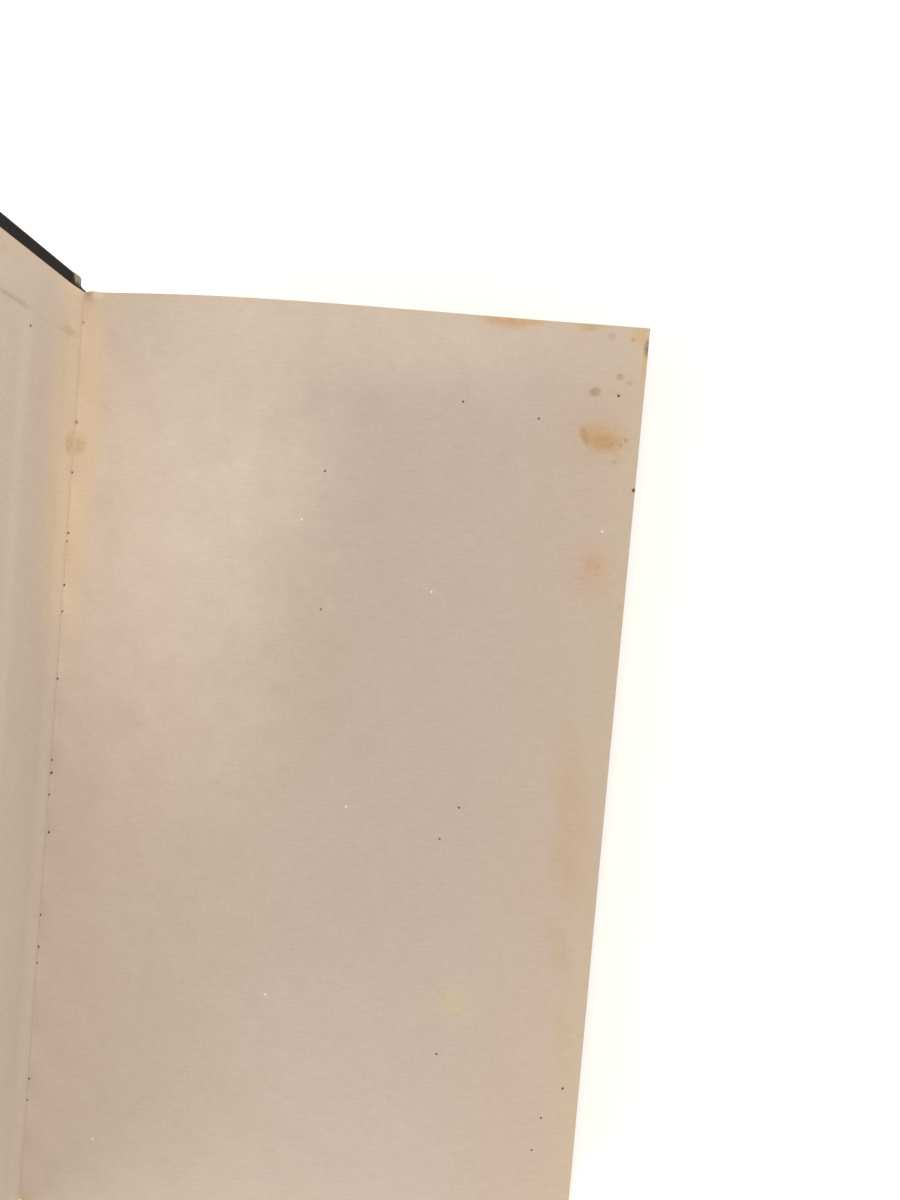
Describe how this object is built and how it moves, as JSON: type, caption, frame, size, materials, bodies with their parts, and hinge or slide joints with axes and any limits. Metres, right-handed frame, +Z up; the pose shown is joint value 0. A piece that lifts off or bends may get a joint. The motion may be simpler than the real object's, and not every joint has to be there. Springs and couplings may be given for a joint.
{
  "type": "open book",
  "caption": "Cloth case-bound book lying on its back cover, with the front cover hinged open on a blank, stained free endpaper.",
  "frame": {"origin": "middle of the back cover's flat underside, on the plane the book lies on", "axes": "+X towards the fore edge, +Y towards the head of the book, +Z up from the back cover to the front free endpaper"},
  "size_m": [0.1508, 0.2418, 0.1733],
  "materials": {
    "page_paper": "matte",
    "endpaper": "matte",
    "millboard": "matte",
    "book_cloth": "matte",
    "mull": "matte",
    "kraft_lining": "matte",
    "inlay_card": "matte",
    "linen_cord": "matte"
  },
  "bodies": {
    "book_block": {"text_block": "page_paper", "front_free_endpaper": "endpaper", "back_free_endpaper": "endpaper", "sewing_cords": "linen_cord", "spine_mull": "mull", "spine_lining": "kraft_lining", "spine_inlay": "inlay_card", "spine_cloth": "book_cloth"},
    "front_cover": {"front_board": "millboard", "front_cover_cloth": "book_cloth", "front_mull_flange": "mull", "front_pastedown": "endpaper"},
    "back_cover": {"back_board": "millboard", "back_cover_cloth": "book_cloth", "back_mull_flange": "mull", "back_pastedown": "endpaper"}
  },
  "joints": [
    {"name": "front_cover_hinge", "type": "hinge", "parent": "book_block", "child": "front_cover", "pos_m": [-0.07475, 0, 0.0291], "axis": [0, -1, 0], "range_deg": [-85, 95], "deforming": ["front_free_endpaper"]},
    {"name": "back_cover_hinge", "type": "hinge", "parent": "book_block", "child": "back_cover", "pos_m": [-0.07475, 0, 0.0039], "axis": [0, 1, 0], "range_deg": [0, 180]}
  ]
}
